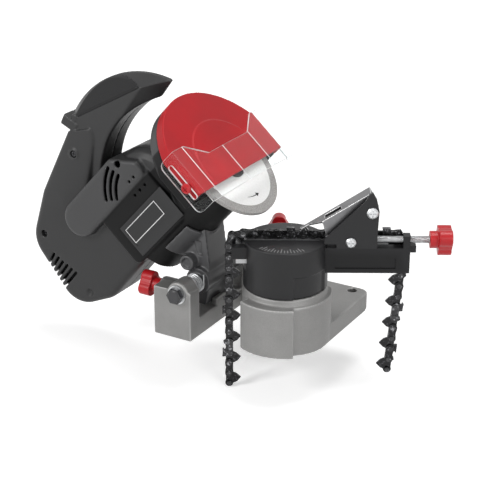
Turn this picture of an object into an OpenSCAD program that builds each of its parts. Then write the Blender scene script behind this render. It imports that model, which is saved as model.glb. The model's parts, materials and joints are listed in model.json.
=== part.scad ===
// Electric bench sharpener for saw chains, with a chain clamped in its vise.
// The origin is on the vise's swivel axis, on the base's underside. +Z is up.

/* [Wheel] */
// Diameter of the grinding wheel
wheel_d = 100; // [96:0.5:102]
// Thickness of the grinding wheel
wheel_t = 3.2; // [2.6:0.1:3.6]
// Bore of the grinding wheel
wheel_bore = 10; // [9:0.5:12]
// Diameter of the paper label on the wheel
label_d = 84; // [76:1:88]

/* [Head] */
// X of the wheel's centre, head raised
wheel_x = -54.9; // [-56:0.1:-54]
// Height of the wheel's centre, head raised
wheel_z = 149.5; // [149:0.1:152]
// Angle of the wheel's axis above the bench, head raised
axis_tilt = 47.9; // [47:0.1:49]
// Diameter of the motor barrel
barrel_d = 59; // [58:0.5:60]
// Wall of the moulded housing
wall = 3; // [2.4:0.2:3.4]
// Half width of the housing at its raised pod
pod_y = 34; // [33:0.5:36]
// Half width of the housing's leg and heel
leg_y = 24; // [22:0.5:26]
// Half width of the handle
grip_y = 17; // [15:0.5:19]
// Diameter of the motor's stator
stator_d = 50; // [46:0.5:51]

/* [Guard] */
// Radius of the wheel guard
guard_r = 74.5; // [73:0.5:76]
// Half width over the guard's flat sides
guard_flat = 68; // [67:0.5:70]
// How far the guard reaches below the wheel's centre
guard_cut = 10; // [8:0.5:12]
// Thickness of the clear shield
shield_t = 2; // [1.6:0.1:2.4]

/* [Hinge] */
// X of the hinge axis
hinge_x = -77; // [-78:0.1:-76]
// Height of the hinge axis
hinge_z = 43.5; // [43:0.1:45]
// Diameter of the hinge bolt
hinge_d = 8; // [7:0.5:9]
// Distance from the middle of the head to each hinge post
post_in = 37.7; // [37:0.1:39]
// Thickness of each hinge post
post_t = 15.6; // [14:0.1:17]
// Wire diameter of the return spring
spring_wire = 1.8; // [1.6:0.1:2]

/* [Base] */
// Height of the base's turned seat above the bench
seat_z = 50.5; // [50:0.1:52]
// Height of the cast rim around the seat
rim_z = 45; // [43:0.5:46]
// Radius of the rim at the front
rim_r = 46.5; // [45:0.5:48]
// Radius of the boss where the chain hangs past it
boss_r = 37.5; // [36:0.1:38]
// Thickness of the bench flange
flange_t = 16.8; // [14:0.1:18]
// X of the flange's right side
flange_x = 40; // [39:0.5:42]
// Y of the flange's back edge
flange_y = 92; // [90:0.5:96]
// Diameter of the bench bolt holes
bolt_hole_d = 8.6; // [6.5:0.1:9]
// Distance between the bench bolt holes
bolt_gap = 85; // [80:1:90]

/* [Vise] */
// Swivel angle of the vise as stored
swivel = 29.5; // [28:0.5:30]
// Radius of the vise's drum at its foot
drum_r = 36.9; // [36:0.1:37.4]
// Height of the drum's top
drum_top = 93.4; // [93.4:0.1:93.6]
// Half width of the vise arm
arm_y = 13; // [12.5:0.1:14]
// Height of the arm's underside
arm_z0 = 66.5; // [65:0.1:68]
// Height of the arm's top
arm_z1 = 89.5; // [89:0.1:90]
// Distance from the swivel axis to the arm's end
arm_len = 106; // [105:0.5:108]
// Diameter of the adjusting and clamping screws
screw_d = 6; // [5:0.5:6.5]
// Diameter of the adjusting knob over its lobes
knob_d = 27.8; // [25:0.2:30]

/* [Chain] */
// Pitch of the saw chain between its rivets
pitch = 10.26; // [10:0.01:10.3]
// Thickness of the chain's drive links
gauge = 1.6; // [1.5:0.1:1.6]
// Height of the top run's rivets
chain_z = 97.6; // [97.6:0.1:97.8]
// Distance from the swivel axis to the left hanging run
drop_left = 49; // [48.6:0.1:49.4]

/* [Clearances] */
// Gap between parts that move past each other
gap = 0.4; // [0.35:0.01:0.45]
// Radial play of a shaft in its bore
play = 0.05; // [0.03:0.01:0.08]

/* [Hidden] */
$fn = 48;
eps = 0.01;
// the chain hangs through the arm's open end
drop_right = arm_len - 3;

// ---- frames ----
module head_frame() {
    translate([wheel_x, 0, wheel_z])
        rotate([0, 90 - axis_tilt, 0])
            children();
}
// a 2D outline drawn in the head's frame, as (t, s), laid in the XZ side view
module tilt2d() {
    translate([wheel_x, wheel_z])
        rotate(axis_tilt - 90)
            children();
}
module vise_frame() {
    rotate([0, 0, swivel])
        children();
}
module slab(y0, y1) {
    translate([0, y1, 0])
        rotate([90, 0, 0])
            linear_extrude(y1 - y0)
                children();
}
// a disc about the Y axis, from y = 0 to y = -h, with its outer edge rounded by e
module puck(x, z, r, h, e) {
    n = 4;
    translate([x, 0, z])
        rotate([90, 0, 0])
            rotate_extrude($fn = 40)
                polygon(concat([[0, 0], [r, 0]],
                    [for (i = [0:n]) [r - e + e * cos(90 * i / n), h - e + e * sin(90 * i / n)]],
                    [[0, h]]));
}
module along_y(y0, y1, r) {
    translate([0, y1, 0])
        rotate([90, 0, 0])
            cylinder(h = y1 - y0, r = r);
}
module at_hinge() {
    translate([hinge_x, 0, hinge_z])
        children();
}
module sector2d(a0, a1, r) {
    n = 8;
    polygon(concat([[0, 0]], [for (i = [0:n]) r * [cos(a0 + (a1 - a0) * i / n), sin(a0 + (a1 - a0) * i / n)]]));
}
module hex(af, h) {
    cylinder(h = h, r = af / sqrt(3), $fn = 6);
}
module pan_head(r, h) {
    difference() {
        union() {
            cylinder(h = h * 0.55, r = r);
            translate([0, 0, h * 0.55])
                cylinder(h = h * 0.45, r1 = r, r2 = r * 0.72);
        }
        translate([-r * 0.6, -r * 0.12, h * 0.5])
            cube([r * 1.2, r * 0.24, h]);
        translate([-r * 0.12, -r * 0.6, h * 0.5])
            cube([r * 0.24, r * 1.2, h]);
    }
}
// a three-lobed knob: head on top, hub below, axis +Z, from z = 0
module lobes2d(d) {
    lobe = d * 0.26;
    circle(d * 0.36);
    for (a = [0:120:359])
        rotate(a)
            translate([d / 2 - lobe, 0])
                circle(lobe);
}
module lobed_knob(d, head_t, hub_d, hub_t) {
    difference() {
        union() {
            cylinder(h = hub_t + 1, r = hub_d / 2);
            translate([0, 0, hub_t])
                linear_extrude(head_t)
                    lobes2d(d);
        }
        translate([0, 0, hub_t + head_t - 1.4])
            cylinder(h = 2, r = d * 0.17);
    }
}

// ---- base ----
lug_x0 = -118;
lug_x1 = -104;
lug_y = -14;
lug_w = 20;
depth_z = 26;
depth_d = 6;
bar_x = -80;
post_x0 = -102.8;
post_x1 = -64.6;
post_out = post_in + post_t;
post_z = 46;
hinge_boss_r = 10.8;
bolt_y = 84;
bolt_mid = -17.5;
plate_y0 = 43;

module base_plan() {
    difference() {
        union() {
            translate([bar_x, plate_y0])
                square([flange_x - bar_x - 10, flange_y - plate_y0]);
            translate([bar_x, plate_y0])
                square([flange_x - bar_x, flange_y - plate_y0 - 10]);
            translate([flange_x - 10, flange_y - 10])
                circle(10);
            translate([0, 0])
                square([flange_x, flange_y - 10]);
            translate([bar_x, -post_out])
                square([post_x1 - bar_x, post_out + plate_y0 + 1]);
            translate([lug_x0, lug_y - lug_w / 2])
                square([bar_x - lug_x0 + 1, lug_w]);
        }
        // rounded inner corner of the chain gap
        translate([-52, plate_y0 - 2])
            circle(6);
    }
}
module post_side() {
    translate([post_x0, 0])
        square([post_x1 - post_x0, post_z]);
    translate([hinge_x, hinge_z])
        circle(hinge_boss_r);
}
module boss_rim(h, inset) {
    linear_extrude(h)
        union() {
            circle(boss_r - inset);
            intersection() {
                circle(rim_r - inset);
                sector2d(-118, -52, 80);
            }
            intersection() {
                circle(41 - inset);
                sector2d(-60, 40, 80);
            }
        }
}
module base_casting() {
    rib = 5;
    color("silver")
        difference() {
            union() {
                linear_extrude(flange_t)
                    base_plan();
                boss_rim(rim_z, 0);
                translate([0, 0, rim_z])
                    cylinder(h = seat_z - rim_z, r1 = boss_r, r2 = boss_r - 1.5);
                slab(-post_out, -post_in)
                    post_side();
                slab(post_in, post_out)
                    post_side();
                // raised rings where the hinge bolt's washers sit
                at_hinge()
                    along_y(-post_out - 1, -post_out + 1, hinge_boss_r - 0.8);
                at_hinge()
                    along_y(post_out - 1, post_out + 1, hinge_boss_r - 0.8);
                // lug for the depth screw
                translate([lug_x0, lug_y - lug_w / 2, 0])
                    cube([lug_x1 - lug_x0, lug_w, depth_z]);
                translate([lug_x0, lug_y, depth_z])
                    rotate([0, 90, 0])
                        cylinder(h = lug_x1 - lug_x0, r = lug_w / 2);
                // stop pad that holds the raised head
                translate([post_x1 - 5.5, -8, flange_t - 1])
                    cube([5.5, 16, 8]);
                // web from the rear post to the flange
                translate([post_x1 - 6, post_out - 1, 0])
                    rotate([90, 0, 90])
                        linear_extrude(6)
                            polygon([[0, 0], [28, 0], [28, flange_t], [0, post_z - 6]]);
            }
            // hinge bore
            at_hinge()
                along_y(-80, 80, hinge_d / 2 + play);
            // depth screw's bore
            translate([lug_x0 - 1, lug_y, depth_z])
                rotate([0, 90, 0])
                    cylinder(h = lug_x1 - lug_x0 + 2, r = depth_d / 2 + play);
            // bench bolt holes
            for (sx = [-1, 1])
                translate([bolt_mid + sx * bolt_gap / 2, bolt_y, -1])
                    cylinder(h = flange_t + 2, r = bolt_hole_d / 2);
            // swivel screw's blind hole
            translate([0, 0, 22])
                cylinder(h = 40, r = 4 + play);
            // hollow of the boss, between four ribs
            difference() {
                translate([0, 0, -1])
                    cylinder(h = rim_z - 6, r = boss_r - 5);
                translate([0, 0, -2])
                    cylinder(h = rim_z, r = 13);
                for (a = [45:90:359])
                    rotate(a)
                        translate([0, -rib / 2, -2])
                            cube([60, rib, rim_z]);
            }
            // pockets under the flange, between ribs
            for (x = [-52, -27, -2, 17])
                translate([x, 58, -1])
                    cube([14, 16, flange_t - 5]);
            for (y = [44])
                translate([12, y, -1])
                    cube([20, 10, flange_t - 5]);
        }
}

// ---- hinge hardware ----
module hinge_bolt() {
    color("dimgray")
        at_hinge() {
            along_y(-post_out - 2.6, post_out + 9, hinge_d / 2);
            translate([0, -post_out - 2.6, 0])
                rotate([90, 0, 0]) {
                    hex(13, 4.6);
                    translate([0, 0, 4.6])
                        cylinder(h = 1, r1 = 6.2, r2 = 5);
                }
        }
}
module hinge_nut() {
    color("dimgray")
        at_hinge()
            difference() {
                translate([0, post_out + 9.1, 0])
                    rotate([90, 0, 0])
                        hex(13, 6.5);
                along_y(0, 80, hinge_d / 2 + 0.01);
            }
}
module ring_y(y0, y1, r_out, r_in) {
    difference() {
        along_y(y0, y1, r_out);
        along_y(y0 - 1, y1 + 1, r_in);
    }
}
module hinge_washers() {
    color("silver")
        at_hinge() {
            ring_y(-post_out - 2.6, -post_out - 1, 8.6, hinge_d / 2 + 0.2);
            ring_y(post_out + 1, post_out + 2.6, 8.6, hinge_d / 2 + 0.2);
            ring_y(-post_in, -post_in + 1.5, 10.5, hinge_d / 2 + 0.2);
            ring_y(post_in - 1.5, post_in, 10.5, hinge_d / 2 + 0.2);
        }
}
// the return spring is one tube of round sections, joined ring to ring, with a
// leg down to the base bar and a leg up beside the arm
spring_r = 8.4;
spring_turns = 4;
spring_y0 = -35.2;
spring_y1 = -24;
spring_n = 24;
spring_ring = 8;
spring_steps = spring_turns * spring_n;
leg_down = hinge_z - flange_t;
leg_up = 9;
function coil_pt(i) =
    [spring_r * cos(360 * i / spring_n), spring_y0 + (spring_y1 - spring_y0) * i / spring_steps,
     spring_r * sin(360 * i / spring_n)];
// centre line with the direction that its ring faces outward from, as an angle
spring_path = concat(
    [for (k = [0:2]) [coil_pt(0) - [0, 0, leg_down * (3 - k) / 3], 0]],
    [for (i = [0:spring_steps]) [coil_pt(i), 360 * i / spring_n]],
    [[coil_pt(spring_steps) + [0, 0, leg_up], 0]]);
function ring_pt(p, k) = p[0] + spring_wire / 2
    * [cos(360 * k / spring_ring) * cos(p[1]), sin(360 * k / spring_ring), cos(360 * k / spring_ring) * sin(p[1])];
// least distance between points of the wire that are half a turn or more apart along it
function spring_gap() = min([for (i = [0:spring_steps]) for (j = [i + spring_n / 2:spring_steps])
    norm(coil_pt(j) - coil_pt(i))]) - spring_wire;
module return_spring() {
    n = len(spring_path);
    pts = [for (p = spring_path) for (k = [0:spring_ring - 1]) ring_pt(p, k)];
    faces = concat(
        [[for (k = [0:spring_ring - 1]) k]],
        [for (i = [0:n - 2]) for (k = [0:spring_ring - 1])
            let (k2 = (k + 1) % spring_ring)
            [i * spring_ring + k, (i + 1) * spring_ring + k, (i + 1) * spring_ring + k2, i * spring_ring + k2]],
        [[for (k = [spring_ring - 1:-1:0]) (n - 1) * spring_ring + k]]);
    echo(spring_least_gap = spring_gap());
    color("lightgray")
        at_hinge()
            polyhedron(pts, faces, convexity = 6);
}

// ---- swivel ----
module swivel_screw() {
    color("dimgray")
        union() {
            translate([0, 0, 24])
                cylinder(h = 40, r = 4);
            translate([0, 0, 60.9])
                difference() {
                    cylinder(h = 4.4, r = 6.5);
                    translate([0, 0, 1.6])
                        hex(6, 4);
                }
        }
}
module swivel_washer() {
    color("silver")
        translate([0, 0, 59.25])
            difference() {
                cylinder(h = 1.65, r = 9);
                translate([0, 0, -1])
                    cylinder(h = 4, r = 4.2);
            }
}

// ---- depth stop ----
depth_tip_x = -86.4;
module depth_tip() {
    color("dimgray")
        translate([depth_tip_x - 5, lug_y, depth_z])
            rotate([0, 90, 0])
                difference() {
                    union() {
                        cylinder(h = 4, r = 4.4);
                        translate([0, 0, 4])
                            cylinder(h = 1, r1 = 4.4, r2 = 3.4);
                    }
                    translate([0, 0, -1])
                        cylinder(h = 3.5, r = depth_d / 2 - 0.5 + play);
                }
}
module depth_screw() {
    color("silver")
        translate([-134, lug_y, depth_z])
            rotate([0, 90, 0]) {
                cylinder(h = depth_tip_x - 5 + 134 - 0.4, r = depth_d / 2);
                cylinder(h = depth_tip_x - 5 + 134 + 2, r = depth_d / 2 - 0.5);
            }
}
module depth_knob() {
    color("firebrick")
        difference() {
            translate([-119.5, lug_y, depth_z])
                rotate([0, -90, 0])
                    lobed_knob(25, 11.5, 14, 7.5);
            translate([-134, lug_y, depth_z])
                rotate([0, 90, 0])
                    cylinder(h = 40, r = depth_d / 2 + 0.01);
        }
}

// ---- tilting arm ----
arm_half = 16;
sleeve_r = 6.9;
module tilt_arm() {
    color([0.16, 0.16, 0.17])
        difference() {
            union() {
                at_hinge()
                    along_y(-21, 21, 12);
                at_hinge()
                    along_y(-post_in + 1.9, post_in - 1.9, sleeve_r);
                at_hinge()
                    along_y(20, post_in - 1.9, 9.5);
                slab(-arm_half, arm_half)
                    polygon([[-83, 19], [-71.5, 19], [-69.5, 28], [-68, 40], [-68, 60], [-69.5, 72], [-71, 84],
                             [-73, 98], [-96, 86], [-92, 64], [-89, 50], [-83, 30]]);
                // cradle ring that clasps the motor barrel
                head_frame()
                    translate([0, 0, -92])
                        difference() {
                            cylinder(h = 34, r = barrel_d / 2 + 2.6);
                            translate([0, 0, -1])
                                cylinder(h = 36, r = barrel_d / 2);
                            translate([-60, -60, -1])
                                cube([74, 120, 36]);
                        }
                // round boss of the spring's anchor
                translate([-86, 0, 60])
                    along_y(-25, -10, 7);
            }
            at_hinge()
                along_y(-80, 80, hinge_d / 2 + 1.2);
            translate([-86, 0, 60])
                along_y(-26, -23, 4.6);
            // stays clear of the barrel that it carries
            head_frame()
                translate([0, 0, -150])
                    cylinder(h = 140, r = barrel_d / 2);
            // relief pockets of the casting
            slab(-40, -arm_half + 2)
                polygon([[-80, 66], [-75, 66], [-76, 80], [-84, 80]]);
            slab(arm_half - 2, 40)
                polygon([[-80, 66], [-75, 66], [-76, 80], [-84, 80]]);
        }
}
module arm_bushes() {
    color("goldenrod")
        at_hinge()
            for (y = [-post_in + 1.9, post_in - 13.9])
                ring_y(y, y + 12, hinge_d / 2 + 1.2, hinge_d / 2 + play);
}

// ---- housing ----
leg_top = [-201, 156, 15];
leg_mid = [-231, 92, 15.3];
heel_a = [-230, 52, 28];
heel_b = [-205, 19, 27];
heel_c = [-187, 28, 28];
module disc2d(c) {
    translate([c[0], c[1]])
        circle(c[2], $fn = 40);
}
// outline of the hollow in the leg, which ends below the handle
module leg2d() {
    hull() {
        disc2d([leg_top[0] - 6, leg_top[1] - 14, leg_top[2] - 1]);
        disc2d(leg_mid);
        disc2d(heel_a);
    }
}
module heel2d() {
    hull() {
        disc2d(heel_a);
        disc2d(heel_b);
        disc2d(heel_c);
        tilt2d()
            translate([-9, -132])
                circle(18, $fn = 32);
        tilt2d()
            translate([-50, -140])
                circle(20, $fn = 32);
    }
}
pod_r = 17.5;
pod_t = -59.5;
pod_s = -144.5;
module pod2d() {
    tilt2d() {
        translate([pod_t, pod_s])
            circle(pod_r);
        polygon([[pod_t - pod_r, pod_s], [pod_t - pod_r, -73], [-58, -52], [pod_t + pod_r, -52], [pod_t + pod_r, pod_s]]);
    }
}
block_y = 31;
module block2d() {
    tilt2d()
        polygon([[-70, -128], [-70, -66], [-48, -51], [9, -51], [9, -128]]);
}
dome_r = 35;
dome_t = -38;
dome_s = -68;
// handle: a disc with bevelled sides, less a round palm opening
grip_x = -138;
grip_z = 127.6;
grip_out_r = 93.2;
grip_bevel = 9.4;
palm_x = -95.2;
palm_z = 120.1;
palm_r = 86.2;
palm_e = 2.5;
// flat facet on each side of the handle, above a crest line
crest = [-173.2, 192];
crest_a = 28.7;
facet_a = 37;
pad_t = 1.6;
// wedge-shaped nose at the handle's free end
nose = [-112.7, 217.5];
nose_lean = 36;
nose_len = 15.3;
collar_a = [150, 156];
module grip2d() {
    intersection() {
        difference() {
            translate([grip_x, grip_z])
                circle(grip_out_r - 10);
            translate([palm_x, palm_z])
                circle(palm_r + 2);
        }
        translate([grip_x, grip_z])
            sector2d(98, 154, 90);
    }
}
module grip_sector(a0, a1) {
    slab(-60, 1)
        translate([grip_x, grip_z])
            sector2d(a0, a1, 110);
}
// everything outside one facet's plane, moved inwards by d
module facet_cut(d) {
    translate([crest[0], -grip_y - 1, crest[1]])
        rotate([0, -crest_a, 0])
            rotate([-facet_a, 0, 0])
                translate([-150, -100, -100])
                    cube([300, 100 + d, 250]);
}
module palm_cut() {
    n = 4;
    translate([palm_x, 0, palm_z])
        rotate([90, 0, 0])
            rotate_extrude($fn = 72)
                polygon(concat([[0, -1], [palm_r, -1]],
                    [for (i = [0:n]) [palm_r + palm_e - palm_e * cos(90 * i / n), grip_y - palm_e + palm_e * sin(90 * i / n)]],
                    [[palm_r + palm_e, grip_y + 9], [0, grip_y + 9]]));
}
// the near half of the handle before its facet and palm opening are cut
module grip_form() {
    intersection() {
        translate([grip_x, 0, grip_z])
            rotate([90, 0, 0])
                rotate_extrude($fn = 72)
                    polygon([[0, 0], [grip_out_r, 0], [grip_out_r, 2],
                             [grip_out_r - grip_bevel, grip_y], [0, grip_y]]);
        translate([nose[0], 0, nose[1]])
            rotate([0, nose_lean, 0])
                translate([0, 0, -120])
                    linear_extrude(200)
                        polygon([[0, 1], [0, -1.2], [-nose_len, -grip_y - 0.2], [-nose_len - 9, -grip_y - 9.6],
                                 [-200, -grip_y - 9.6], [-200, 1]]);
    }
}
boss_at = [-208.3, 172.5];
module grip_half() {
    difference() {
        union() {
            difference() {
                intersection() {
                    grip_form();
                    grip_sector(60, collar_a[1] - 1);
                }
                facet_cut(pad_t);
            }
            // collar at the handle's lower end, with a round boss above it
            difference() {
                intersection() {
                    puck(grip_x, grip_z, grip_out_r + 1, grip_y + 1.2, 2);
                    grip_sector(collar_a[0], collar_a[1]);
                }
                puck(grip_x, grip_z, grip_out_r - 16, grip_y + 9, 1);
            }
            puck(boss_at[0], boss_at[1], 3.8, grip_y + 0.6, 1.6);
            // neck beside the palm opening
            translate([-180, 0, 166])
                rotate([0, 10.4, 0])
                    translate([0, 0, -52])
                        linear_extrude(56)
                            polygon([[-12, 0], [-12, -8], [-9.5, -12.5], [-3, 0.3 - grip_y], [12, 0.3 - grip_y], [12, 0]]);
            slab(-8, 0)
                web2d();
        }
        palm_cut();
    }
}
module web2d() {
    hull() {
        translate([-180, 162])
            circle(11, $fn = 24);
        translate([-206, 96])
            circle(8, $fn = 24);
        tilt2d()
            translate([-66, -80])
                circle(8, $fn = 24);
    }
}
barrel_s0 = -116;
barrel_s1 = -16;
// children drawn with x = t and z = s of the head's frame
module head_half() {
    head_frame()
        children();
}
module half(sign) {
    intersection() {
        children();
        translate([-400, sign < 0 ? -60 : 0, -60])
            cube([400, 60, 400]);
    }
}
module upper_leg() {
    difference() {
        hull() {
            puck(leg_top[0], leg_top[1], leg_top[2], grip_y + 2, 4);
            puck(leg_mid[0], leg_mid[1], leg_mid[2], leg_y, 6);
            puck(heel_a[0], heel_a[1], heel_a[2], leg_y, 6);
        }
        // straight shoulder below the handle's collar
        translate([-196.5, -60, 164])
            rotate([0, -14.6, 0])
                translate([-60, 0, 0])
                    cube([120, 100, 60]);
    }
}
module near_solid() {
    upper_leg();
    hull() {
        puck(heel_a[0], heel_a[1], heel_a[2], leg_y, 6);
        puck(heel_b[0], heel_b[1], heel_b[2], leg_y, 6);
        puck(heel_c[0], heel_c[1], heel_c[2], leg_y, 6);
        head_half()
            puck(-9, -132, 18, leg_y, 6);
        head_half()
            puck(-50, -140, 20, leg_y, 6);
    }
    head_half()
        hull() {
            puck(pod_t, pod_s, pod_r, pod_y, 4);
            puck(pod_t - pod_r + 6, -76, 6, pod_y, 4);
            puck(-55, -58, 6, pod_y, 4);
            puck(pod_t + pod_r - 6, -58, 6, pod_y, 4);
        }
    head_half()
        hull() {
            puck(-62, -122, 6, block_y, 3);
            puck(-62, -72, 6, block_y, 3);
            puck(-44, -57, 6, block_y, 3);
            puck(3, -57, 6, block_y, 3);
            puck(3, -122, 6, block_y, 3);
        }
    head_half()
        puck(dome_t, dome_s, dome_r, 27, 14);
    grip_half();
    head_frame()
        translate([0, 0, barrel_s0]) {
            cylinder(h = barrel_s1 - barrel_s0 - 2, r = barrel_d / 2);
            cylinder(h = barrel_s1 - barrel_s0, r = barrel_d / 2 - 2);
        }
}
module near_hollow() {
    slab(-grip_y - 2 + wall, eps)
        offset(delta = -wall - 1.6)
            leg2d();
    slab(-leg_y + wall, eps)
        offset(delta = -wall - 1.6)
            heel2d();
    slab(-pod_y + wall, eps)
        offset(delta = -wall)
            pod2d();
    slab(-block_y + wall, eps)
        offset(delta = -wall)
            block2d();
    difference() {
        slab(-grip_y + wall + 1, eps)
            offset(delta = -wall)
                grip2d();
        facet_cut(pad_t + wall);
    }
    head_frame()
        translate([0, 0, barrel_s0 + wall])
            cylinder(h = barrel_s1 - barrel_s0 - 2 * wall, r = stator_d / 2 + 0.1);
}
leg_holes = [[-208, 139.5], [-245, 55]];
slot_n = 6;
// slots that start at the heel's lower edge and run up into its face
module vents() {
    for (i = [0:slot_n - 1]) {
        p = [-242.5 + 3.32 * i, 22.7 - 3.9 * i];
        q = [-234 + 5.04 * i, 37.6 - 2.8 * i];
        translate([p[0], -leg_y - 1, p[1]])
            rotate([0, -atan2(q[1] - p[1], q[0] - p[0]), 0])
                translate([-12, 0, -1.2])
                    cube([norm(q - p) + 12, 11, 2.4]);
    }
}
module louvres() {
    head_frame()
        for (r = [38, 44, 50])
            translate([-24, 0, -64])
                rotate([90, 0, 0])
                    linear_extrude(pod_y + 2)
                        intersection() {
                            difference() {
                                circle(r + 1.5);
                                circle(r - 1.5);
                            }
                            sector2d(196, 236, 70);
                        }
}
module vent_holes() {
    head_frame()
        for (p = [[-49, -64], [-49, -71], [-37.5, -62], [-37.5, -70], [-37.5, -78]])
            translate([p[0], -60, p[1]])
                rotate([-90, 0, 0])
                    cylinder(h = 34, r = 1.5);
}
module post_holes(y0, y1, r) {
    for (p = leg_holes)
        translate([p[0], 0, p[1]])
            along_y(y0, y1, r);
}
panel_t0 = -27;
panel_t1 = 6;
module shell_near() {
    color([0.2, 0.2, 0.21])
        difference() {
            union() {
                difference() {
                    half(-1)
                        near_solid();
                    near_hollow();
                    vents();
                    louvres();
                }
                post_holes(-leg_y + 2, 0, 5);
            }
            post_holes(-60, 1, 1.9);
            // shallow dimple low on the heel
            translate([-194, 0, 6])
                along_y(-60, -leg_y + 2, 3.4);
            post_holes(-60, -leg_y + 6, 3.4);
            vent_holes();
            // recess for the label plate
            head_frame()
                translate([panel_t0, -block_y - 1, -116])
                    cube([panel_t1 - panel_t0, 2, 66]);
            head_frame()
                translate([pod_t - 8, -pod_y - 1, -69])
                    rotate([-90, 0, 0])
                        cylinder(h = 5, r = 3.2);
            front_bores();
            // edge of the shaft tunnel
            gland_bore();
        }
}
module front_bores() {
    head_frame()
        translate([0, 0, barrel_s1 - 10])
            cylinder(h = 20, r = 9);
}
gland_x = heel_b[0];
module gland_bore() {
    translate([gland_x, 0, -20])
        cylinder(h = 34, r = 6);
}
module shell_far() {
    color([0.2, 0.2, 0.21])
        difference() {
            union() {
                difference() {
                    mirror([0, 1, 0])
                        half(-1)
                            near_solid();
                    mirror([0, 1, 0])
                        near_hollow();
                    mirror([0, 1, 0])
                        vents();
                }
                post_holes(0, leg_y - 2, 5);
            }
            post_holes(-1, leg_y - 5, 1.5);
            front_bores();
            gland_bore();
            // opening for the switch
            translate([switch_x - 7, leg_y - 8, switch_z - 11])
                cube([14, 12, 22]);
        }
}
// soft pads set into the handle's two facets
module grip_pads() {
    color([0.12, 0.12, 0.13])
        for (m = [0, 1])
            mirror([0, m, 0])
                difference() {
                    intersection() {
                        grip_form();
                        grip_sector(90, collar_a[0] - 0.1);
                        facet_cut(pad_t - 0.02);
                    }
                    facet_cut(0);
                    puck(boss_at[0], boss_at[1], 3.82, grip_y + 9, 1.6);
                }
}
module label_plate() {
    color([0.1, 0.1, 0.1])
        head_frame()
            translate([panel_t0 + 0.3, -block_y - 0.02, -115.7])
                difference() {
                    cube([panel_t1 - panel_t0 - 0.6, 1, 65.4]);
                    // bare field for a label, with a groove around it
                    translate([4.4, -1, 3])
                        cube([18, 1.35, 49]);
                }
}
module housing_screws() {
    color("dimgray") {
        for (p = leg_holes)
            translate([p[0], -leg_y + 6, p[1]])
                rotate([90, 0, 0])
                    union() {
                        pan_head(3.2, 2.6);
                        translate([0, 0, -20])
                            cylinder(h = 20, r = 1.45);
                    }
    }
}
module cord_gland() {
    color([0.08, 0.08, 0.08])
        translate([gland_x, 0, heel_b[1] - heel_b[2] - 1.7])
            difference() {
                union() {
                    cylinder(h = 12, r = 5.98);
                    cylinder(h = 1.6, r = 7);
                }
                translate([0, 0, -1])
                    cylinder(h = 14, r = 3.6);
            }
}
switch_x = -232;
switch_z = 88;
module switch_frame() {
    color([0.06, 0.06, 0.06])
        difference() {
            union() {
                translate([switch_x - 6.9, leg_y - 12, switch_z - 10.9])
                    cube([13.8, 12, 21.8]);
                translate([switch_x - 8.5, leg_y, switch_z - 12.5])
                    cube([17, 1.4, 25]);
            }
            translate([switch_x - 5, leg_y - 8, switch_z - 9.4])
                cube([10, 12, 18.8]);
        }
}
module switch_rocker() {
    color("firebrick")
        difference() {
            translate([0, 0, 0])
                intersection() {
                    translate([switch_x - 4.6, leg_y - 5, switch_z - 7.2])
                        cube([9.2, 8.4, 14.4]);
                    translate([switch_x - 6, leg_y - 10, switch_z])
                        rotate([0, 90, 0])
                            cylinder(h = 12, r = 12.6);
                }
            translate([switch_x - 6, leg_y + 11, switch_z + 5])
                rotate([0, 90, 0])
                    cylinder(h = 12, r = 9.5);
        }
}

// ---- motor, along the wheel's axis ----
stator_s0 = -98;
stator_len = 40;
rotor_r = 13;
shaft_r = 4;
module motor_stator() {
    color("gray")
        head_frame()
            translate([0, 0, stator_s0])
                difference() {
                    cylinder(h = stator_len, r = stator_d / 2);
                    translate([0, 0, -1])
                        cylinder(h = stator_len + 2, r = rotor_r + 0.6);
                    for (a = [0:60:359])
                        rotate(a)
                            translate([rotor_r + 4.5, 0, -1])
                                cylinder(h = stator_len + 2, r = 2.6);
                }
}
module motor_windings() {
    color("peru")
        head_frame()
            for (z = [stator_s0 - 5, stator_s0 + stator_len])
                translate([0, 0, z])
                    difference() {
                        cylinder(h = 5, r = stator_d / 2 - 3);
                        translate([0, 0, -1])
                            cylinder(h = 7, r = rotor_r + 1.5);
                    }
}
bearing_s = [-112.9, -27];
bearing_r = 11;
module motor_bearings() {
    color("silver")
        head_frame()
            for (z = bearing_s)
                translate([0, 0, z])
                    difference() {
                        union() {
                            cylinder(h = 7, r = bearing_r);
                            // end plate that holds the bearing in the barrel
                            cylinder(h = 2, r = stator_d / 2);
                        }
                        translate([0, 0, -1])
                            cylinder(h = 9, r = shaft_r + play);
                    }
}
flange_s = -wheel_t;
module motor_shaft() {
    color("silver")
        head_frame()
            translate([0, 0, -112])
                cylinder(h = 112 + 4.2, r = shaft_r);
}
module motor_rotor() {
    color("dimgray")
        head_frame()
            translate([0, 0, stator_s0 + 1])
                difference() {
                    cylinder(h = stator_len - 2, r = rotor_r);
                    translate([0, 0, -1])
                        cylinder(h = stator_len + 2, r = shaft_r + 0.01);
                }
}
module motor_fan() {
    color([0.75, 0.75, 0.72])
        head_frame()
            translate([0, 0, -49])
                difference() {
                    union() {
                        cylinder(h = 12, r = 7);
                        cylinder(h = 1.6, r = 23);
                        for (a = [0:40:359])
                            rotate(a)
                                translate([6, -0.8, 0])
                                    cube([16.5, 1.6, 11]);
                    }
                    translate([0, 0, -1])
                        cylinder(h = 14, r = shaft_r + 0.01);
                }
}

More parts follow.
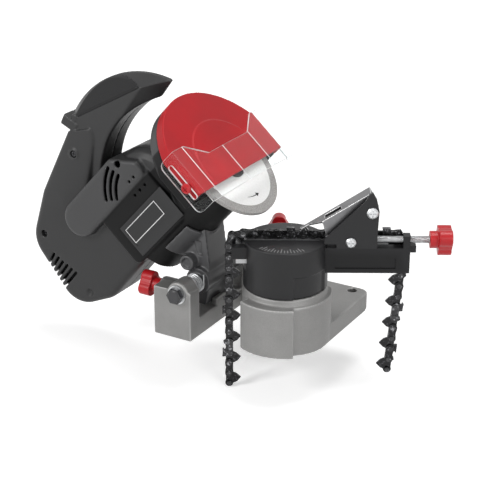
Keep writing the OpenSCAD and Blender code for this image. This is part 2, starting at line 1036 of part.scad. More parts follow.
// ---- wheel and guard ----
back_s = -14;
module guard_plan(r, grow) {
    intersection() {
        circle(r + grow);
        translate([-120, -guard_flat - grow])
            square([120 + guard_cut + grow, 2 * (guard_flat + grow)]);
    }
}
guard_s0 = -3;
guard_s1 = 7;
module guard_back() {
    color([0.14, 0.14, 0.15])
        head_frame()
            difference() {
                translate([0, 0, back_s - 2])
                    linear_extrude(guard_s0 - back_s + 2)
                        guard_plan(guard_r, 0);
                translate([0, 0, back_s + 0.5])
                    linear_extrude(20)
                        guard_plan(guard_r, -2.5);
                // open below, where the wheel comes out
                translate([guard_cut - 5, -guard_flat + 2.5, back_s + 0.5])
                    cube([10, 2 * guard_flat - 5, 30]);
                translate([0, 0, back_s - 5])
                    cylinder(h = 10, r = 19);
                // bevel around the back
                translate([0, 0, back_s - 8])
                    difference() {
                        cylinder(h = 12, r = guard_r + 10);
                        cylinder(h = 12, r1 = guard_r - 6, r2 = guard_r + 1);
                    }
            }
}
module wheel_guard() {
    color("firebrick")
        head_frame()
            difference() {
                union() {
                    translate([0, 0, guard_s0])
                        linear_extrude(guard_s1 - guard_s0)
                            guard_plan(guard_r, 0);
                    // raised disc in the middle of the cover
                    translate([0, 0, guard_s1])
                        linear_extrude(0.8)
                            guard_plan(44, -0.01);
                    // bosses for the shield's screw and the cover's screws
                    translate([-1, -guard_flat - 1, 2])
                        rotate([-90, 0, 0])
                            cylinder(h = 8, r = 4.6);
                }
                translate([0, 0, guard_s0 - 1])
                    linear_extrude(guard_s1 - guard_s0 + 1 - 2)
                        guard_plan(guard_r, -2);
                translate([guard_cut - 5, -guard_flat + 2, guard_s0 - 1])
                    cube([10, 2 * guard_flat - 4, guard_s1 - guard_s0 + 1 - 2]);
                // bore for the shield's screw
                translate([-1, -guard_flat - 3, 2])
                    rotate([-90, 0, 0])
                        cylinder(h = 12, r = 2);
            }
}
// the cover's screws enter from behind
module guard_screws() {
    color("silver")
        head_frame()
            for (a = [125, 180, 235])
                rotate(a)
                    translate([guard_r - 14, 0, back_s - 2])
                        mirror([0, 0, 1])
                            pan_head(3, 1.8);
}
module inner_flange() {
    color("silver")
        head_frame()
            translate([0, 0, flange_s - 7])
                difference() {
                    union() {
                        cylinder(h = 3.5, r = 8);
                        translate([0, 0, 3.5])
                            cylinder(h = 3.5, r = 17);
                        // spigot that centres the wheel's bore
                        cylinder(h = 7 + wheel_t - 0.2, r = wheel_bore / 2 - 0.02);
                    }
                    translate([0, 0, -1])
                        cylinder(h = 9 + wheel_t, r = shaft_r + 0.01);
                }
}
module grinding_wheel() {
    color("gray")
        head_frame()
            translate([0, 0, -wheel_t])
                difference() {
                    cylinder(h = wheel_t, r = wheel_d / 2, $fn = 96);
                    translate([0, 0, -1])
                        cylinder(h = wheel_t + 2, r = wheel_bore / 2);
                }
}
module wheel_label() {
    color("white")
        head_frame()
            difference() {
                cylinder(h = 0.4, r = label_d / 2, $fn = 96);
                translate([0, 0, -1])
                    cylinder(h = 3, r = 13);
            }
}
module wheel_nut() {
    color("dimgray")
        head_frame()
            difference() {
                union() {
                    cylinder(h = 2, r = 12.6);
                    translate([0, 0, 2])
                        hex(15, 2.2);
                }
                translate([0, 0, -1])
                    cylinder(h = 8, r = shaft_r + 0.01);
            }
}

// ---- clear shield, drawn across the head as (y, s) and run along t ----
tab_y = -guard_flat - 1.4;
shield_s = 13.4;
shield_t0 = -31;
shield_t1 = 22;
module sheet(p, q) {
    d = q - p;
    n = [-d[1], d[0]] / norm(d) * shield_t / 2;
    polygon([p - n, q - n, q + n, p + n]);
    translate(p)
        circle(shield_t / 2, $fn = 24);
    translate(q)
        circle(shield_t / 2, $fn = 24);
}
module clear_shield() {
    bend = [[tab_y - 1, shield_s], [-57, shield_s], [-13, shield_s + 2], [32, shield_s + 0.6], [70.4, 9.4], [70.4, 3]];
    color([0.85, 0.92, 0.95, 0.35])
        head_frame()
            difference() {
                union() {
                    translate([shield_t0, 0, 0])
                        rotate([90, 0, 90])
                            linear_extrude(shield_t1 - shield_t0)
                                for (i = [0:len(bend) - 2])
                                    sheet(bend[i], bend[i + 1]);
                    // side tab that is screwed to the guard
                    translate([0, tab_y, 0])
                        rotate([90, 0, 0])
                            linear_extrude(shield_t)
                                union() {
                                    translate([shield_t0, 0])
                                        square([shield_t1 - shield_t0, shield_s]);
                                    translate([shield_t0 + 6, -6])
                                        square([shield_t1 - shield_t0 - 12, 7]);
                                    translate([shield_t0 + 6, 0])
                                        circle(6);
                                    translate([shield_t1 - 6, 0])
                                        circle(6);
                                }
                }
                // notch along the shield's upper edge
                translate([0, 0, shield_s - 3.2])
                    linear_extrude(20)
                        polygon([[shield_t0 - 1, -56], [-15.5, -33], [-15.5, 32], [shield_t0 - 1, 61]]);
                // slot for the shield's screw
                translate([0, tab_y + 1, 2])
                    rotate([90, 0, 0])
                        linear_extrude(shield_t + 2)
                            union() {
                                translate([-22, -2.6])
                                    square([30, 5.2]);
                                translate([-22, 0])
                                    circle(2.6);
                                translate([8, 0])
                                    circle(2.6);
                            }
            }
}
module shield_screw() {
    color("firebrick")
        head_frame()
            translate([-1, tab_y - shield_t - 0.35, 2])
                rotate([90, 0, 0])
                    union() {
                        pan_head(4.4, 3);
                        translate([0, 0, -10.5])
                            cylinder(h = 10.5, r = 1.95);
                    }
}

// ---- vise ----
slot_front = 4.02;
slot_back = 6.4;
rail_z1 = 93.6;
left_end = 46.2;
left_z0 = 78.8;
screw_z = 82;
module vise_drum() {
    color([0.13, 0.13, 0.14])
        vise_frame()
            difference() {
                union() {
                    translate([0, 0, seat_z + gap])
                        cylinder(h = drum_top - seat_z - gap, r1 = drum_r, r2 = drum_r - 0.8);
                    // low hump behind the chain
                    intersection() {
                        translate([-31, slot_back, drum_top - 1])
                            cube([42, arm_y - slot_back, 6]);
                        translate([-10, 0, 58.5])
                            along_y(0, 30, 38.4);
                    }
                }
                // tunnel that the arm is pressed into
                translate([-60, -arm_y, arm_z0])
                    cube([120, 2 * arm_y, arm_z1 - arm_z0]);
                // slot for the rails
                translate([-60, -slot_front, arm_z1 - 1])
                    cube([120, slot_front + slot_back, 10]);
                // hollow underneath, around the hub
                difference() {
                    translate([0, 0, seat_z - 1])
                        cylinder(h = 12, r = drum_r - 4);
                    translate([0, 0, seat_z - 2])
                        cylinder(h = 20, r = 13);
                    for (a = [0:60:179])
                        rotate(a + 30)
                            translate([-50, -1.5, seat_z - 2])
                                cube([100, 3, 20]);
                }
                // swivel screw's bore and head room
                translate([0, 0, 40])
                    cylinder(h = 30, r = 4 + play);
                translate([0, 0, 58.9])
                    cylinder(h = 20, r = 10);
                // shallow pocket on the front
                difference() {
                    intersection() {
                        translate([0, 0, seat_z - 1])
                            cylinder(h = 21.3, r = drum_r + 2);
                        linear_extrude(80)
                            sector2d(-80, -25, 60);
                    }
                    cylinder(h = 120, r = drum_r - 1.9);
                }
                // clamp screw's bore at the back
                translate([-5, 0, screw_z])
                    along_y(0, 60, screw_d / 2 + play);
            }
}
module vise_arm() {
    color([0.15, 0.15, 0.16])
        vise_frame()
            difference() {
                union() {
                    translate([-left_end, -arm_y, left_z0])
                        cube([left_end, 2 * arm_y, arm_z1 - left_z0]);
                    translate([-30, -arm_y, arm_z0])
                        cube([arm_len + 30, 2 * arm_y, arm_z1 - arm_z0]);
                    // end block that carries the adjusting screw
                    translate([arm_len - 6, -arm_y, arm_z1 - 1])
                        cube([6, 9.2, 12]);
                    translate([arm_len, -arm_y + 1, arm_z1 - 4])
                        cube([5, 7, 6]);
                }
                // slot for the rails and the chain
                translate([-60, -slot_front, 71])
                    cube([200, slot_front + slot_back, 60]);
                // the chain leaves through the open end
                translate([arm_len - 14.5, -slot_front, 60])
                    cube([40, slot_front + slot_back, 60]);
                // lightening grooves along the sides
                for (m = [0, 1])
                    mirror([0, m, 0])
                        translate([42, -arm_y - 1, arm_z0 + 4])
                            cube([arm_len - 54, 2, 10]);
                // clamp screw's bore
                translate([-5, 0, screw_z])
                    along_y(0, 60, screw_d / 2 + play);
                // adjusting screw's bore
                translate([arm_len - 20, rod_y, rod_z])
                    rotate([0, 90, 0])
                        cylinder(h = 60, r = screw_d / 2 + play);
                // head room for the swivel screw
                translate([0, 0, 50])
                    cylinder(h = 21.5, r = 10);
            }
}
rail_t = 3.2;
rail_x0 = -43;
rail_x1 = 88;
module rail(y0) {
    translate([rail_x0, y0, 71])
        difference() {
            cube([rail_x1 - rail_x0, rail_t, rail_z1 - 71]);
            // lead-in slopes at both ends
            translate([-1, -1, rail_z1 - 71])
                rotate([0, 38, 0])
                    cube([8, rail_t + 2, 8], center = false);
        }
}
module front_rail() {
    color("silver")
        vise_frame()
            rail(-slot_front);
}
module rear_rail() {
    color("silver")
        vise_frame()
            difference() {
                translate([0, 0, gap])
                    rail(gauge / 2 + gap);
                translate([-60, 0, rail_z1])
                    cube([200, 10, 5]);
            }
}
module rail_screws() {
    color("silver")
        vise_frame()
            for (x = [54, 84])
                translate([x, arm_y - 1, arm_z0 + 10])
                    rotate([-90, 0, 0])
                        pan_head(3.6, 2);
}
// raised marks, every 5 degrees, with a long one every 15 degrees
module angle_scale() {
    color("white")
        vise_frame()
            translate([0, 0, drum_top])
                for (a = [-35:5:35])
                    rotate(a - 90 - 8)
                        translate([a % 15 == 0 ? 26 : 29, -0.3, 0])
                            cube([a % 15 == 0 ? 7.5 : 4.5, 0.6, 0.3]);
}
clamp_x = -5;
clamp_y0 = gauge / 2 + gap + rail_t;
clamp_knob_y = 41;
module clamp_screw() {
    color("silver")
        vise_frame()
            translate([clamp_x, 0, screw_z])
                along_y(clamp_y0 + 0.35, clamp_knob_y + 16, screw_d / 2);
}
module clamp_knob() {
    color("firebrick")
        vise_frame()
            difference() {
                translate([clamp_x, clamp_knob_y, screw_z])
                    rotate([-90, 30, 0])
                        lobed_knob(24.6, 11, 13, 6);
                translate([clamp_x, 0, screw_z])
                    along_y(0, clamp_knob_y + 16, screw_d / 2 + 0.01);
            }
}

// ---- adjustable link stop ----
rod_y = -8.4;
rod_z = 96.2;
plate_y = -14.8;
plate_t = 2.6;
module slide_block() {
    color([0.13, 0.13, 0.14])
        vise_frame()
            difference() {
                translate([54, plate_y + plate_t + 0.02, arm_z1 + gap])
                    cube([24, 7.6, 10]);
                translate([40, rod_y, rod_z])
                    rotate([0, 90, 0])
                        cylinder(h = 60, r = screw_d / 2 + play);
            }
}
pawl_x = 72.5;
pawl_z = 122.6;
module stop_bracket() {
    color([0.14, 0.14, 0.15])
        vise_frame()
            difference() {
                slab(plate_y, plate_y + plate_t)
                    polygon([[32.5, drum_top + gap], [32.5, 98], [66, 132], [69.5, 139], [72.6, 140.4],
                             [76, 134], [78.4, 124], [77, arm_z1 + gap], [43, arm_z1 + gap], [43, drum_top + gap]]);
                translate([pawl_x, 0, pawl_z])
                    along_y(-20, 0, 2.5 + play);
                translate([55, 0, 95.6])
                    along_y(-20, 0, 2.05);
            }
}
module bracket_screws() {
    color("silver")
        vise_frame() {
            translate([pawl_x, plate_y, pawl_z])
                rotate([90, 0, 0])
                    pan_head(4.9, 2.8);
            translate([pawl_x, 0, pawl_z])
                along_y(plate_y, 13, 2.5);
            translate([55, plate_y, 95.6])
                rotate([90, 0, 0])
                    pan_head(4.4, 2.6);
            translate([55, 0, 95.6])
                along_y(plate_y, plate_y + 2.4, 2);
        }
}
module adjust_screw() {
    color("silver")
        vise_frame()
            translate([44, rod_y, rod_z])
                rotate([0, 90, 0])
                    cylinder(h = 90, r = screw_d / 2);
}
module adjust_knob() {
    color("firebrick")
        vise_frame()
            difference() {
                translate([122.5, rod_y, rod_z])
                    rotate([0, 90, 0])
                        lobed_knob(knob_d, 11.5, 15, 7);
                translate([40, rod_y, rod_z])
                    rotate([0, 90, 0])
                        cylinder(h = 94, r = screw_d / 2 + 0.01);
            }
}
// the pawl is a folded channel that hangs from its pivot onto the chain
pawl_half = 8.2;
pawl_dip = 32.7;
pawl_len = 62.5;
pawl_top = 13.6;
pawl_sheet = 1.6;
module pawl_side() {
    difference() {
        union() {
            polygon([[-41, pawl_top], [7, pawl_top], [7, 0], [0, -5.6], [-28, -2.6], [-45, 0.5]]);
            circle(5.6);
        }
        circle(2.5 + play);
    }
}
module chain_pawl() {
    color([0.78, 0.79, 0.8])
        vise_frame()
            translate([pawl_x, 0, pawl_z])
                rotate([0, -pawl_dip, 0])
                    difference() {
                        union() {
                            for (y = [-pawl_half, pawl_half - pawl_sheet])
                                slab(y, y + pawl_sheet)
                                    pawl_side();
                            // folded top, narrowed to a finger beside the cutters
                            translate([0, 0, pawl_top - pawl_sheet])
                                linear_extrude(pawl_sheet)
                                    polygon([[7, -pawl_half], [7, pawl_half], [-pawl_len, pawl_half],
                                             [-pawl_len, 3.6], [-54, 3.6], [-41, -pawl_half]]);
                            // foot at the finger's tip
                            translate([-pawl_len, pawl_half - pawl_sheet, pawl_top - 6])
                                cube([5, pawl_sheet, 6]);
                        }
                        // window in the folded top
                        translate([-38, -3.5, pawl_top - 4])
                            cube([16, 7, 6]);
                    }
}

// ---- saw chain ----
bend_r = 8;
run_x0 = -drop_left + bend_r;
run_x1 = drop_right - bend_r;
lean = 5.2;
arc_l = bend_r * PI / 2;
run_l = run_x1 - run_x0;
left_n = 14;
// point and heading of the chain's rivet line at a distance along it
function chain_pt(d) =
    d < 0 ? [-drop_left, chain_z - bend_r + d]
    : d < arc_l ? let (a = d / bend_r * 180 / PI) [run_x0 - bend_r * cos(a), chain_z - bend_r + bend_r * sin(a)]
    : d < arc_l + run_l ? [run_x0 + d - arc_l, chain_z]
    : d < 2 * arc_l + run_l ? let (a = (d - arc_l - run_l) / bend_r * 180 / PI)
        [run_x1 + bend_r * sin(a), chain_z - bend_r + bend_r * cos(a)]
    : let (e = d - 2 * arc_l - run_l) [drop_right - e * sin(lean), chain_z - bend_r - e * cos(lean)];
chain_start = -137;
link_count = 41;
rivets = [for (i = [0:link_count]) chain_pt(chain_start + i * pitch)];
strap_t = 1.3;
strap_y = gauge / 2 + 0.1;
rivet_r = 1.8;
cutter_h = 6.2;
// places one link between rivet i and the next; +X runs along it, +Z points outwards
module at_link(i) {
    p = rivets[i];
    q = rivets[i + 1];
    d = q - p;
    translate([p[0], 0, p[1]])
        rotate([0, -atan2(d[1], d[0]), 0])
            children();
}
function link_len(i) = norm(rivets[i + 1] - rivets[i]);
module link_holes(l, y0, y1) {
    for (x = [0, l])
        translate([x, 0, 0])
            along_y(y0, y1, rivet_r + 0.04);
}
module drive_links() {
    color([0.1, 0.1, 0.11])
        vise_frame()
            for (i = [0:2:link_count - 1])
                at_link(i)
                    difference() {
                        l = link_len(i);
                        slab(-gauge / 2, gauge / 2)
                            union() {
                                circle(3.6);
                                translate([l, 0])
                                    circle(3.6);
                                translate([0, -3.6])
                                    square([l, 6.6]);
                                // tang that rides between the rails
                                polygon([[-0.5, -3.2], [1.6, -7.2], [l / 2 + 0.6, -10.4], [l - 1, -6.4], [l + 0.4, -3.2]]);
                            }
                        link_holes(l, -3, 3);
                    }
}
module strap2d(l) {
    circle(3.7);
    translate([l, 0])
        circle(3.7);
    difference() {
        translate([0, -3.5])
            square([l, 7]);
        translate([l / 2, 12.6])
            circle(9.6);
    }
}
function is_cutter(i) = (i % 4 == 3) && i != 15 && i != 11;
module strap(l, y0) {
    difference() {
        slab(y0, y0 + strap_t)
            strap2d(l);
        link_holes(l, -5, 5);
    }
}
module tie_straps() {
    color([0.12, 0.12, 0.13])
        vise_frame()
            for (i = [1:2:link_count - 1])
                at_link(i) {
                    side = (i % 8 == 3) ? -1 : 1;
                    if (!is_cutter(i) || side > 0)
                        strap(link_len(i), -strap_y - strap_t);
                    if (!is_cutter(i) || side < 0)
                        strap(link_len(i), strap_y);
                }
}
// cutter: side plate with depth gauge, gullet and a top plate folded over the chain
module cutter(l) {
    difference() {
        union() {
            slab(strap_y, strap_y + strap_t)
                union() {
                    strap2d(l);
                    polygon([[-3.4, 0], [-3.8, cutter_h], [3.2, cutter_h - 0.7], [4, 1.5], [4, 0]]);
                    polygon([[l - 2.4, 0], [l - 1.4, 4.6], [l + 1.6, 5.2], [l + 3.4, 2.4], [l + 3, 0]]);
                }
            translate([-3.8, -1.6, cutter_h - 1.5])
                cube([7, strap_y + strap_t + 1.6, 1.2]);
        }
        link_holes(l, -5, 5);
    }
}
module chain_cutters() {
    color([0.16, 0.16, 0.17])
        vise_frame()
            for (i = [3:4:link_count - 1])
                if (is_cutter(i))
                    at_link(i)
                        mirror([0, i % 8 == 3 ? 1 : 0, 0])
                            cutter(link_len(i));
}
module chain_rivets() {
    color([0.3, 0.3, 0.31])
        vise_frame()
            for (p = rivets)
                translate([p[0], 0, p[1]])
                    union() {
                        along_y(-strap_y - strap_t - 0.5, strap_y + strap_t + 0.5, rivet_r);
                        for (s = [-1, 1])
                            along_y(s * (strap_y + strap_t + 0.3) - 0.28, s * (strap_y + strap_t + 0.3) + 0.28, 2.3);
                    }
}

base_casting();
hinge_bolt();
hinge_nut();
hinge_washers();
return_spring();
swivel_screw();
swivel_washer();
depth_tip();
depth_screw();
depth_knob();
tilt_arm();
arm_bushes();
shell_near();
shell_far();
grip_pads();
label_plate();
housing_screws();
cord_gland();
switch_frame();
switch_rocker();
motor_stator();
motor_windings();
motor_bearings();
motor_shaft();
motor_rotor();
motor_fan();
guard_back();
wheel_guard();
guard_screws();
inner_flange();
grinding_wheel();
wheel_label();
wheel_nut();
clear_shield();
shield_screw();
vise_drum();
vise_arm();
front_rail();
rear_rail();
angle_scale();
rail_screws();
clamp_screw();
clamp_knob();
slide_block();
stop_bracket();
bracket_screws();
adjust_screw();
adjust_knob();
chain_pawl();
drive_links();
tie_straps();
chain_cutters();
chain_rivets();
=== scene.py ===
"""Looks of the saw chain sharpener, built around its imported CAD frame. Lengths are in metres."""
import json
import math

import bpy
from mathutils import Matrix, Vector


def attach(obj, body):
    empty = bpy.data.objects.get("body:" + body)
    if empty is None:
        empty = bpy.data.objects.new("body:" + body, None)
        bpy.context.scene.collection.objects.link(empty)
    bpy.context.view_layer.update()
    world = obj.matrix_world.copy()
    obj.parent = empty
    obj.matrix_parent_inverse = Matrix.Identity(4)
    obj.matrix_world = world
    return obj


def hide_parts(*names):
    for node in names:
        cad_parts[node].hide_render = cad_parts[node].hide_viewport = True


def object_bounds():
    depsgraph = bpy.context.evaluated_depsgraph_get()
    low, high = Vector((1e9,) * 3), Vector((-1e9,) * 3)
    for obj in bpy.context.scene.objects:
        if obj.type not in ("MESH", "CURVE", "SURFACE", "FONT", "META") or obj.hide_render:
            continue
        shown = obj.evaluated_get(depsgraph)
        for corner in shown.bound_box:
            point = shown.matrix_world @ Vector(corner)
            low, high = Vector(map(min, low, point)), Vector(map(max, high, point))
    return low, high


AZIMUTH = math.radians(30.3)
ELEVATION = math.radians(22.65)
TARGET = Vector((-0.04561, 0.0, 0.08186))
DISTANCE = 1.21592
LENS_MM = 103.74
FLOOR_GAP = 0.0004
FLOOR_SIZE = 6.0
SHARP_ANGLE = math.radians(28)
# the head's own frame: t across the wheel, s along its axis
HEAD = Vector((-0.0549, 0.0, 0.1495))
TILT = math.radians(47.9)
ALONG = Vector((math.cos(TILT), 0.0, math.sin(TILT)))
ACROSS = Vector((math.sin(TILT), 0.0, -math.cos(TILT)))

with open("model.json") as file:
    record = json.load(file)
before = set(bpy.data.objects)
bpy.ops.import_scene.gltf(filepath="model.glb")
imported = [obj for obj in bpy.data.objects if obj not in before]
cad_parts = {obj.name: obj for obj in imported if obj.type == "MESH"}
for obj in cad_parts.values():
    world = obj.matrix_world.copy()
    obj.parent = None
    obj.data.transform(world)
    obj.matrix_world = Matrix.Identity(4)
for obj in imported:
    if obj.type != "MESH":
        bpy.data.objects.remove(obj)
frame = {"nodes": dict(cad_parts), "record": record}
cad_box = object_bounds()
nodes = frame["nodes"]
body_of = {n: b for b, ns in frame["record"]["behaviour"]["bodies"].items() for n in ns}
slot_of = {s["node"]: s["material_slot"] for s in frame["record"]["subparts"]}
scene = bpy.context.scene


# ---- camera ----
def add_camera():
    back = Vector((math.sin(AZIMUTH) * math.cos(ELEVATION), -math.cos(AZIMUTH) * math.cos(ELEVATION),
                   math.sin(ELEVATION)))
    data = bpy.data.cameras.new("camera")
    data.lens = LENS_MM
    data.sensor_width = 36.0
    data.sensor_fit = "HORIZONTAL"
    data.clip_start = 0.05
    data.clip_end = 20.0
    camera = bpy.data.objects.new("camera", data)
    camera.location = TARGET + back * DISTANCE
    camera.rotation_euler = (-back).to_track_quat("-Z", "Y").to_euler()
    scene.collection.objects.link(camera)
    scene.camera = camera


add_camera()


# ---- materials ----
def shader(name):
    mat = bpy.data.materials.new(name)
    mat.use_nodes = True
    tree = mat.node_tree
    return mat, tree, tree.nodes["Principled BSDF"]


def coords(tree, stretch=(1, 1, 1)):
    where = tree.nodes.new("ShaderNodeTexCoord")
    scale = tree.nodes.new("ShaderNodeMapping")
    scale.inputs["Scale"].default_value = stretch
    tree.links.new(where.outputs["Object"], scale.inputs["Vector"])
    return scale.outputs["Vector"]


def noise(tree, vector, scale, detail=3.0, rough=0.5):
    tex = tree.nodes.new("ShaderNodeTexNoise")
    tex.inputs["Scale"].default_value = scale
    tex.inputs["Detail"].default_value = detail
    tex.inputs["Roughness"].default_value = rough
    tree.links.new(vector, tex.inputs["Vector"])
    return tex.outputs["Fac"]


def ramp(tree, fac, stops):
    node = tree.nodes.new("ShaderNodeValToRGB")
    elements = node.color_ramp.elements
    while len(elements) < len(stops):
        elements.new(0.5)
    for element, (pos, color) in zip(elements, stops):
        element.position = pos
        element.color = (*color, 1.0)
    tree.links.new(fac, node.inputs["Fac"])
    return node.outputs["Color"]


def spread(tree, fac, low, high, at=(0.3, 0.7)):
    node = tree.nodes.new("ShaderNodeMapRange")
    node.inputs["From Min"].default_value = at[0]
    node.inputs["From Max"].default_value = at[1]
    node.inputs["To Min"].default_value = low
    node.inputs["To Max"].default_value = high
    tree.links.new(fac, node.inputs["Value"])
    return node.outputs["Result"]


def mix(tree, fac, a, b):
    node = tree.nodes.new("ShaderNodeMix")
    node.data_type = "RGBA"
    for value, socket in ((a, node.inputs[6]), (b, node.inputs[7])):
        if isinstance(value, tuple):
            socket.default_value = (*value, 1.0)
        else:
            tree.links.new(value, socket)
    tree.links.new(fac, node.inputs[0])
    return node.outputs[2]


def bump(tree, height, distance, strength=1.0, after=None):
    node = tree.nodes.new("ShaderNodeBump")
    node.inputs["Distance"].default_value = distance
    node.inputs["Strength"].default_value = strength
    tree.links.new(height, node.inputs["Height"])
    if after is not None:
        tree.links.new(after, node.inputs["Normal"])
    return node.outputs["Normal"]


def scaled(color, k):
    return tuple(min(1.0, c * k) for c in color)


def plastic(name, color, rough, grain=1400, grain_depth=0.00006, wear_and_highlight=1.35, coat=0.0, edge=0.35, gloss=0.5):
    """Moulded plastic: fine spark-eroded grain, faint flow marks and edges rubbed a little lighter."""
    mat, tree, bsdf = shader(name)
    vec = coords(tree)
    flow = noise(tree, vec, 18, 4, 0.6)
    fine = noise(tree, vec, grain, 2, 0.6)
    body = ramp(tree, flow, [(0.3, scaled(color, 0.88)), (0.7, scaled(color, 1.12))])
    point = tree.nodes.new("ShaderNodeNewGeometry").outputs["Pointiness"]
    rubbed = spread(tree, point, 0.0, edge, (0.52, 0.6))
    tree.links.new(mix(tree, rubbed, body, scaled(color, wear_and_highlight)), bsdf.inputs["Base Color"])
    tree.links.new(spread(tree, flow, rough - 0.05, rough + 0.07), bsdf.inputs["Roughness"])
    tree.links.new(bump(tree, fine, grain_depth), bsdf.inputs["Normal"])
    bsdf.inputs["Specular IOR Level"].default_value = gloss
    bsdf.inputs["Coat Weight"].default_value = coat
    bsdf.inputs["Coat Roughness"].default_value = 0.15
    return mat


def housing(name, color):
    """The head's plastic: eroded grain, the motor pod's near side painted lighter as a painted highlight,
    and the walls round label and barrel painted darker and duller as painted shade.
    """
    mat = plastic(name, color, 0.42, wear_and_highlight=2.8, edge=0.6)
    tree = mat.node_tree
    bsdf = tree.nodes["Principled BSDF"]
    vec = coords(tree)

    def side(axis, at):
        along = tree.nodes.new("ShaderNodeVectorMath")
        along.operation = "DOT_PRODUCT"
        along.inputs[1].default_value = axis
        tree.links.new(vec, along.inputs[0])
        edge = at + HEAD.dot(axis)
        return spread(tree, along.outputs["Value"], 0.0, 1.0, (edge - 0.0006, edge + 0.0006))

    def product(a, b):
        node = tree.nodes.new("ShaderNodeMath")
        node.operation = "MULTIPLY"
        tree.links.new(a, node.inputs[0])
        tree.links.new(b, node.inputs[1])
        return node.outputs[0]

    # painted shade: the walls round label and barrel take 0.3 of the colour and a lower specular level
    label_barrel_shade = product(side(ALONG, -0.1285), side(ACROSS, -0.0425))
    # painted highlight: the near side of the motor pod takes 2.1 times the colour
    pod = side(Vector((0.0, -1.0, 0.0)), 0.0325)
    body = bsdf.inputs["Base Color"].links[0].from_socket
    body = mix(tree, pod, body, scaled(color, 2.1))
    tree.links.new(mix(tree, label_barrel_shade, body, scaled(color, 0.3)), bsdf.inputs["Base Color"])
    tree.links.new(spread(tree, label_barrel_shade, 0.32, 0.13, (0.0, 1.0)), bsdf.inputs["Specular IOR Level"])
    return mat


def metal(name, color, rough, brush=(1, 1, 1), brush_scale=900, depth=0.00002, stain=0.8, wear_and_highlight=0.0):
    """Worked metal: brushed or turned lines along one direction, a light stain, and, where asked, edges
    painted bright as a painted highlight.
    """
    mat, tree, bsdf = shader(name)
    lines = noise(tree, coords(tree, brush), brush_scale, 4, 0.65)
    patches = noise(tree, coords(tree), 60, 4, 0.6)
    body = ramp(tree, patches, [(0.25, scaled(color, stain)), (0.6, color)])
    # painted highlight: pointy edges are painted towards light grey
    if wear_and_highlight:
        point = tree.nodes.new("ShaderNodeNewGeometry").outputs["Pointiness"]
        body = mix(tree, spread(tree, point, 0.0, wear_and_highlight, (0.51, 0.56)), body, (0.85, 0.85, 0.85))
    tree.links.new(body, bsdf.inputs["Base Color"])
    bsdf.inputs["Metallic"].default_value = 1.0
    tree.links.new(spread(tree, lines, rough - 0.08, rough + 0.1), bsdf.inputs["Roughness"])
    tree.links.new(bump(tree, lines, depth), bsdf.inputs["Normal"])
    return mat


def cast_metal(name, color):
    """Cast aluminium: fine grainy skin, hollows darkened as painted shade, and rubbed edges painted
    brighter, which is wear and a painted highlight on the rims.
    """
    mat, tree, bsdf = shader(name)
    vec = coords(tree)
    sand = noise(tree, vec, 1500, 3, 0.6)
    swell = noise(tree, vec, 60, 3, 0.5)
    cells = tree.nodes.new("ShaderNodeTexVoronoi")
    cells.inputs["Scale"].default_value = 700
    tree.links.new(vec, cells.inputs["Vector"])
    pits = spread(tree, cells.outputs["Distance"], 0.0, 1.0, (0.05, 0.22))
    skin = ramp(tree, sand, [(0.3, scaled(color, 0.9)), (0.7, scaled(color, 1.08))])
    cloud = ramp(tree, swell, [(0.3, (0.9, 0.9, 0.9)), (0.7, (1.06, 1.06, 1.06))])
    toned = tree.nodes.new("ShaderNodeMix")
    toned.data_type = "RGBA"
    toned.blend_type = "MULTIPLY"
    toned.inputs[0].default_value = 1.0
    tree.links.new(skin, toned.inputs[6])
    tree.links.new(cloud, toned.inputs[7])
    point = tree.nodes.new("ShaderNodeNewGeometry").outputs["Pointiness"]
    # rubbed edges at 1.9 times the colour: wear, and a painted highlight on the rims
    rubbed = spread(tree, point, 0.0, 0.8, (0.51, 0.58))
    wear_and_highlight = mix(tree, rubbed, toned.outputs[2], scaled(color, 1.9))
    # painted shade: the hollows fall towards 0.55 of the colour
    hollow_shade = spread(tree, point, 0.7, 0.0, (0.4, 0.48))
    tree.links.new(mix(tree, hollow_shade, wear_and_highlight, scaled(color, 0.55)), bsdf.inputs["Base Color"])
    bsdf.inputs["Metallic"].default_value = 0.45
    tree.links.new(spread(tree, swell, 0.46, 0.6), bsdf.inputs["Roughness"])
    rough = bump(tree, sand, 0.00012)
    rough = bump(tree, pits, 0.00006, after=rough)
    tree.links.new(bump(tree, swell, 0.0005, after=rough), bsdf.inputs["Normal"])
    return mat


def threaded(name, color, axis, pitch):
    """Cut screw thread: rings along the axis over a worked metal."""
    mat, tree, bsdf = shader(name)
    along = tree.nodes.new("ShaderNodeVectorMath")
    along.operation = "DOT_PRODUCT"
    tree.links.new(coords(tree), along.inputs[0])
    along.inputs[1].default_value = [a * 2 * math.pi / pitch for a in axis]
    wave = tree.nodes.new("ShaderNodeMath")
    wave.operation = "SINE"
    tree.links.new(along.outputs["Value"], wave.inputs[0])
    ring = spread(tree, wave.outputs[0], 0.0, 1.0, (-1.0, 1.0))
    patches = noise(tree, coords(tree), 300, 4, 0.6)
    # the dark half of each ring is painted shade in the thread's groove
    body = mix(tree, ring, scaled(color, 0.35), color)
    tree.links.new(body, bsdf.inputs["Base Color"])
    bsdf.inputs["Metallic"].default_value = 1.0
    tree.links.new(spread(tree, patches, 0.25, 0.42), bsdf.inputs["Roughness"])
    tree.links.new(bump(tree, ring, 0.0003), bsdf.inputs["Normal"])
    return mat


